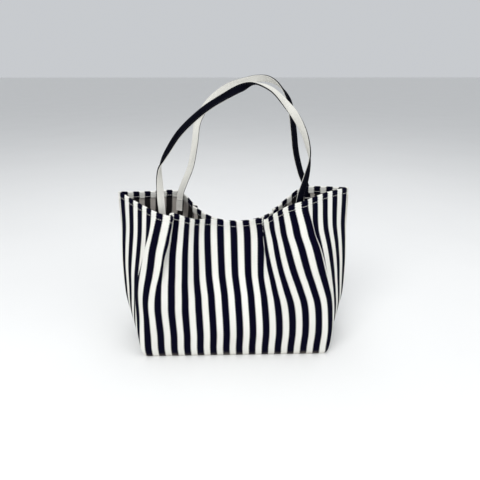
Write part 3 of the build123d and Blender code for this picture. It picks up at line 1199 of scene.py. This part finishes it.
@dataclass
class Handle:
    """A handle: a navy and a cream tape sewn back to back, twisting as it goes over.

    Turns are in degrees, from the front, about the strap's own line.
    """

    side: Side
    finishes: Finishes
    route: tuple[tuple[float, float, float, float], ...]    # points, each with the navy face's turn
    joint_line: float = 0.270       # height of the ends of the free strap
    width: float = 12.3 * MM
    navy: float = 2.1 * MM
    cream: float = 1.4 * MM
    spacing: float = 2.4 * MM
    fine_steps: int = 3000
    sides: int = 20
    swing_band: float = 11 * MM
    edge_pitch: float = 3.9 * MM
    edge_inset: float = 1.5 * MM
    edge_sink: float = 0.12 * MM
    edge_stitch: Stitch = Stitch(2.9 * MM, 0.28 * MM)
    tack_rises: tuple[float, float] = (5 * MM, 22 * MM)     # from the strap's ends
    tack_threads: int = 14
    tack_inset: float = 1.6 * MM
    tack_lean: float = 0.35
    tack_stitch: Stitch = Stitch(2.8 * MM, 0.33 * MM)

    def __post_init__(self) -> None:
        """Works out the centre line and its directions."""
        points = np.array(self.route)[:, :3]
        turns = np.radians([knot[3] for knot in self.route])
        gaps = np.linalg.norm(np.diff(points, axis=0), axis=1) ** 0.5
        knots = np.concatenate([[0], np.cumsum(gaps)])
        fine = np.linspace(0, knots[-1], self.fine_steps)
        *line, turn = (hermite(fine, knots, values, np.gradient(values, knots))
                       for values in (*points.T, turns))
        line = np.stack(line, 1)
        length = travelled(line)
        self.along = np.linspace(0, length[-1], int(length[-1] / self.spacing))
        self.line = read_along(self.along, length, line)
        turn = np.interp(self.along, length, turn)
        tangent = unit(np.gradient(self.line, axis=0))
        front = np.array([0.0, -1.0, 0.0])
        facing = unit(front - tangent * (tangent @ front)[:, None])
        beside = np.cross(tangent, facing)
        self.normal = facing * np.cos(turn)[:, None] + beside * np.sin(turn)[:, None]
        self.across = np.cross(tangent, self.normal)
        self.tangent = tangent
        LOG.info("%s handle: %.0f mm of strap", self.side.word, length[-1] / MM)

    def tape(self, surface: Surface, low: float, high: float, first: int, last: int,
             finish: int = 0) -> None:
        """Sweeps one tape along a stretch of the centre line.

        Args:
            surface: The mesh that takes it.
            low: Its lower face, from the seam between the tapes.
            high: Its upper face.
            first: First point of the stretch.
            last: Last point of the stretch, counted in.
            finish: Material number.
        """
        angle = FULL_TURN * (np.arange(self.sides) + 0.5) / self.sides
        wide = squarish(np.cos(angle), 0.28) * self.width / 2
        thick = squarish(np.sin(angle), 0.45)
        crown = 1 - 0.12 * (wide / (self.width / 2)) ** 4
        height = (low + high) / 2 + thick * crown * (high - low) / 2
        span = slice(first, last + 1)
        grid = np.array([self.line[span] + self.across[span] * w + self.normal[span] * h
                         for w, h in zip(wide, height)])
        cloth = np.zeros_like(grid)
        cloth[..., 0] = wide[:, None]
        cloth[..., 1] = self.along[span]
        cloth[..., 2] = (np.abs(wide / (self.width / 2)) ** 8)[:, None]
        index = surface.sheet(grid, cloth, finish, flip=True, closed_rows=True)
        surface.cap(index[:, 0], finish)
        surface.cap(index[::-1, -1], finish)

    def axis(self) -> tuple[float, float]:
        """Y and Z of the line that the handle swings about."""
        name = f"{self.side.word}_handle_swing"
        joints = frame["record"]["behaviour"]["joints"]
        joint = next(joint for joint in joints if joint["name"] == name)
        return joint["pos_m"][1], joint["pos_m"][2]

    def free(self) -> tuple[int, int]:
        """Numbers of the first and last point of the strap above its sewn ends."""
        inside = np.nonzero(self.line[:, 2] < self.joint_line)[0]
        middle = len(self.line) // 2
        return int(inside[inside < middle].max()), int(inside[inside > middle].min())

    def build(self) -> None:
        """Builds both tapes, their edge stitching, the sewn ends and the bartacks."""
        word = self.side.word
        first, last = self.free()
        layers = (("navy_tape", 0.0, self.navy, self.finishes.navy_tape),
                  ("cream_tape", -self.cream, 0.0, self.finishes.cream_tape))
        for name, low, high, material in layers:
            surface = Surface()
            self.tape(surface, low, high, first, last)
            made = surface.piece(f"{word}_handle_{name}_webbing", [material])
            self.swing(made)
            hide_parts(f"{word}_handle_{name}")
        self.swing(self.edge_stitching(first, last))
        self.build_ends(first, last)
        self.build_bartacks()

    def swing(self, made: bpy.types.Object) -> None:
        """Bakes a piece's placement into its points; it does not bend with the handle's joint.

        Args:
            made: The piece, in its final shape.
        """
        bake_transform(made)

    def edge_stitching(self, first: int, last: int) -> bpy.types.Object:
        """Builds the stitches along both edges of the strap, on both faces.

        Args:
            first: First point of the free strap.
            last: Last point of the free strap.

        Returns:
            The piece.
        """
        pitch = self.edge_pitch
        places = np.arange(self.along[first] + pitch, self.along[last] - pitch, pitch)
        line, across, normal, tangent = (read_along(places, self.along, values) for values in (
            self.line, self.across, self.normal, self.tangent))
        surface = Surface()
        for edge in (-1, 1):
            for height, face in ((self.navy, 1), (-self.cream, -1)):
                middle = (line + across * edge * (self.width / 2 - self.edge_inset)
                          + normal * (height - face * self.edge_sink))
                stitches(surface, self.edge_stitch, middle, tangent, face * normal, int(face < 0))
        made = surface.piece(f"{self.side.word}_handle_edge_stitching",
                             [self.finishes.dark_thread, self.finishes.thread])
        return made

    def build_ends(self, first: int, last: int) -> None:
        """Builds the two sewn ends, which stay with the bag.

        Args:
            first: First point of the free strap.
            last: Last point of the free strap.
        """
        surface = Surface()
        for start, stop in ((0, first), (last, len(self.line) - 1)):
            self.tape(surface, 0.0, self.navy, start, stop, 0)
            self.tape(surface, -self.cream, 0.0, start, stop, 1)
        word = self.side.word
        surface.sewn(f"{word}_strap_ends_sewn", [self.finishes.navy_tape, self.finishes.cream_tape],
                     f"{word}_strap_ends")

    def build_bartacks(self) -> None:
        """Builds dense bars of thread across both sewn ends."""
        surface = Surface()
        share = np.linspace(-1, 1, self.tack_threads)[:, None]
        lean = np.where(np.arange(self.tack_threads) % 2, self.tack_lean, -self.tack_lean)[:, None]
        rises = [*self.tack_rises, *(self.along[-1] - rise for rise in self.tack_rises)]
        for rise in rises:
            at = int(np.argmin(np.abs(self.along - rise)))
            normal, across, tangent = self.normal[at], self.across[at], self.tangent[at]
            face = 1 if normal[1] * -self.side.value > 0 else -1
            height = self.navy if face > 0 else -self.cream
            middle = (self.line[at] + across * share * (self.width / 2 - self.tack_inset)
                      + normal * height)
            stitches(surface, self.tack_stitch, middle, unit(tangent + across * lean),
                     face * normal + 0 * middle)
        word = self.side.word
        surface.sewn(f"{word}_bartack_threads", [self.finishes.thread],
                     f"{word}_bartacks")


@dataclass
class Tote:
    """The whole bag."""

    finishes: Finishes
    shape: BagShape = field(default_factory=BagShape)
    seam_steps: int = 70
    seam_heights: tuple[float, float] = (0.008, 0.286)      # from the base to the hem
    inset: float = 2.4 * MM
    flat_ripple: float = 0.3 * MM

    def build(self) -> None:
        """Builds every piece in order."""
        for side in Side:
            Panel(self.shape, side, self.finishes).build()
            magnet = bpy.data.objects[f"{side.word}_magnet"]
            for slot in magnet.material_slots:
                slot.material = self.finishes.plating
        for end in End:
            self.side_seam(end).build(self.finishes.overlock)
            self.corner_seam(end).build(self.finishes.overlock)
        self.base_seam().build(self.finishes.overlock)
        for handle in self.handles():
            handle.build()

    def side_seam(self, end: End) -> Seam:
        """The allowance up one side, from the base to the hem."""
        heights = np.linspace(*self.seam_heights, self.seam_steps)
        widths = np.array([self.shape.level_at(height).seam_x for height in heights])
        roots = np.stack([end.value * (widths - self.inset), 0 * heights, heights], 1)
        return Seam(f"{end.word}_side_seam", roots,
                    np.array([-end.value, 0.0, 0.0]), np.array([0.0, 1.0, 0.0]))

    def corner_seam(self, end: End) -> Seam:
        """The allowance that boxes one end of the base, lying flat."""
        low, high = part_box(f"{end.word}_corner_seam")
        y = np.linspace(low[1], high[1], self.seam_steps)
        x = high[0] if end is End.RIGHT else low[0]
        roots = np.stack([x + 0 * y, y, 0 * y + (low[2] + high[2]) / 2], 1)
        return Seam(f"{end.word}_corner_seam", roots,
                    np.array([-end.value, 0.0, 0.0]), np.array([0.0, 0.0, 1.0]), self.flat_ripple)

    def base_seam(self) -> Seam:
        """The allowance along the middle of the base, lying flat."""
        low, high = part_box("base_seam")
        x = np.linspace(low[0], high[0], self.seam_steps)
        roots = np.stack([x, low[1] + 0 * x, 0 * x + (low[2] + high[2]) / 2], 1)
        return Seam("base_seam", roots,
                    np.array([0.0, 1.0, 0.0]), np.array([0.0, 0.0, 1.0]), self.flat_ripple)

    def handles(self) -> tuple[Handle, Handle]:
        """Both handles, with the twist and lean that they stand in."""
        front = Handle(Side.FRONT, self.finishes, (
            (-0.126, -0.0410, 0.244, 172), (-0.1263, -0.0412, 0.268, 172),
            (-0.1268, -0.0414, 0.290, 182), (-0.1270, -0.0415, 0.314, 214),
            (-0.1262, -0.0400, 0.337, 240), (-0.1245, -0.0385, 0.351, 264),
            (-0.1185, -0.0370, 0.3635, 292), (-0.1095, -0.0350, 0.378, 308),
            (-0.0880, -0.0300, 0.407, 318), (-0.0480, -0.0220, 0.441, 322),
            (-0.0120, -0.0170, 0.462, 330), (0.0120, -0.0140, 0.474, 372),
            (0.0310, -0.0120, 0.4805, 436), (0.0500, -0.0120, 0.477, 466),
            (0.0660, -0.0130, 0.4685, 480), (0.0870, -0.0180, 0.448, 510),
            (0.1020, -0.0220, 0.430, 552), (0.1160, -0.0270, 0.405, 585),
            (0.1245, -0.0330, 0.378, 615), (0.1265, -0.0360, 0.362, 645),
            (0.1220, -0.0400, 0.332, 685), (0.1155, -0.0414, 0.305, 702),
            (0.1130, -0.0414, 0.284, 710), (0.1130, -0.0410, 0.246, 712)))
        back = Handle(Side.BACK, self.finishes, (
            (-0.108, 0.0410, 0.248, 165), (-0.106, 0.0412, 0.268, 165),
            (-0.1030, 0.0420, 0.284, 160), (-0.0960, 0.0440, 0.301, 155),
            (-0.0820, 0.0500, 0.333, 152), (-0.0730, 0.0560, 0.374, 155),
            (-0.0670, 0.0620, 0.410, 160), (-0.0570, 0.0640, 0.430, 165),
            (-0.0420, 0.0670, 0.449, 172), (-0.0110, 0.0710, 0.4715, 182),
            (0.0230, 0.0740, 0.482, 190), (0.0450, 0.0750, 0.486, 200),
            (0.0640, 0.0750, 0.485, 222), (0.0840, 0.0730, 0.474, 262),
            (0.1010, 0.0690, 0.451, 305), (0.1080, 0.0640, 0.424, 325),
            (0.1125, 0.0600, 0.396, 335), (0.1180, 0.0550, 0.358, 335),
            (0.1290, 0.0500, 0.319, 330), (0.1380, 0.0455, 0.299, 340),
            (0.1425, 0.0425, 0.284, 350), (0.1430, 0.0410, 0.250, 352)))
        return front, back


@dataclass
class Studio:
    """Floor, soft lights and camera."""

    camera_height: float = 0.50
    camera_distance: float = 0.687
    camera_x: float = -0.0062
    tilt: float = 24.28             # degrees below level
    turn: float = 1.4               # degrees to the right
    lens: float = 29.1
    shift: float = 1 / 96           # of the picture, upwards
    floor_size: float = 60.0
    sky: tuple[float, ...] = (0.93, 0.96, 1.0, 1.0)
    sky_strength: float = 0.62
    lamps: tuple[tuple[str, tuple[float, float, float], float, float], ...] = (
        ("key", (-0.9, -1.5, 1.9), 1.4, 32),
        ("fill", (1.5, -1.0, 1.2), 1.6, 10),
        ("top", (0.1, 0.4, 2.2), 1.8, 12),
    )

    def build(self) -> None:
        """Builds the floor, the lights and the camera."""
        bpy.ops.mesh.primitive_plane_add(size=self.floor_size)
        floor = bpy.context.object
        floor.name = "floor"
        floor.data.materials.append(PaleFloor().material())
        world = bpy.data.worlds.new("studio")
        bpy.context.scene.world = world
        world.use_nodes = True
        colour, strength = world.node_tree.nodes["Background"].inputs[:2]
        colour.default_value, strength.default_value = self.sky, self.sky_strength
        for name, place, size, power in self.lamps:
            self.light(name, place, size, power)
        bpy.context.scene.view_settings.view_transform = "Standard"
        self.camera()

    def light(self, name: str, place: tuple[float, float, float], size: float,
              power: float) -> None:
        """Adds a square soft light that faces the bag.

        Args:
            name: Its name.
            place: Where it stands.
            size: Side of its face.
            power: Watts.
        """
        lamp = bpy.data.lights.new(name, "AREA")
        lamp.size = size
        lamp.energy = power
        made = bpy.data.objects.new(name, lamp)
        bpy.context.scene.collection.objects.link(made)
        made.location = place
        aim = made.location.copy()
        aim.z -= 0.2
        made.rotation_euler = aim.to_track_quat("Z", "Y").to_euler()

    def camera(self) -> None:
        """Adds the camera at standing-shot height, looking down at the bag's front."""
        data = bpy.data.cameras.new("camera")
        data.lens = self.lens
        data.shift_y = self.shift
        made = bpy.data.objects.new("camera", data)
        bpy.context.scene.collection.objects.link(made)
        made.location = (self.camera_x, -self.camera_distance, self.camera_height)
        made.rotation_euler = (math.radians(90 - self.tilt), 0, math.radians(-self.turn))
        bpy.context.scene.camera = made


def main() -> None:
    """Builds the bag and its studio."""
    logging.basicConfig(level=logging.INFO, format="%(name)s: %(message)s")
    Studio().build()
    Tote(Finishes()).build()


if __name__ == "__main__":
    main()
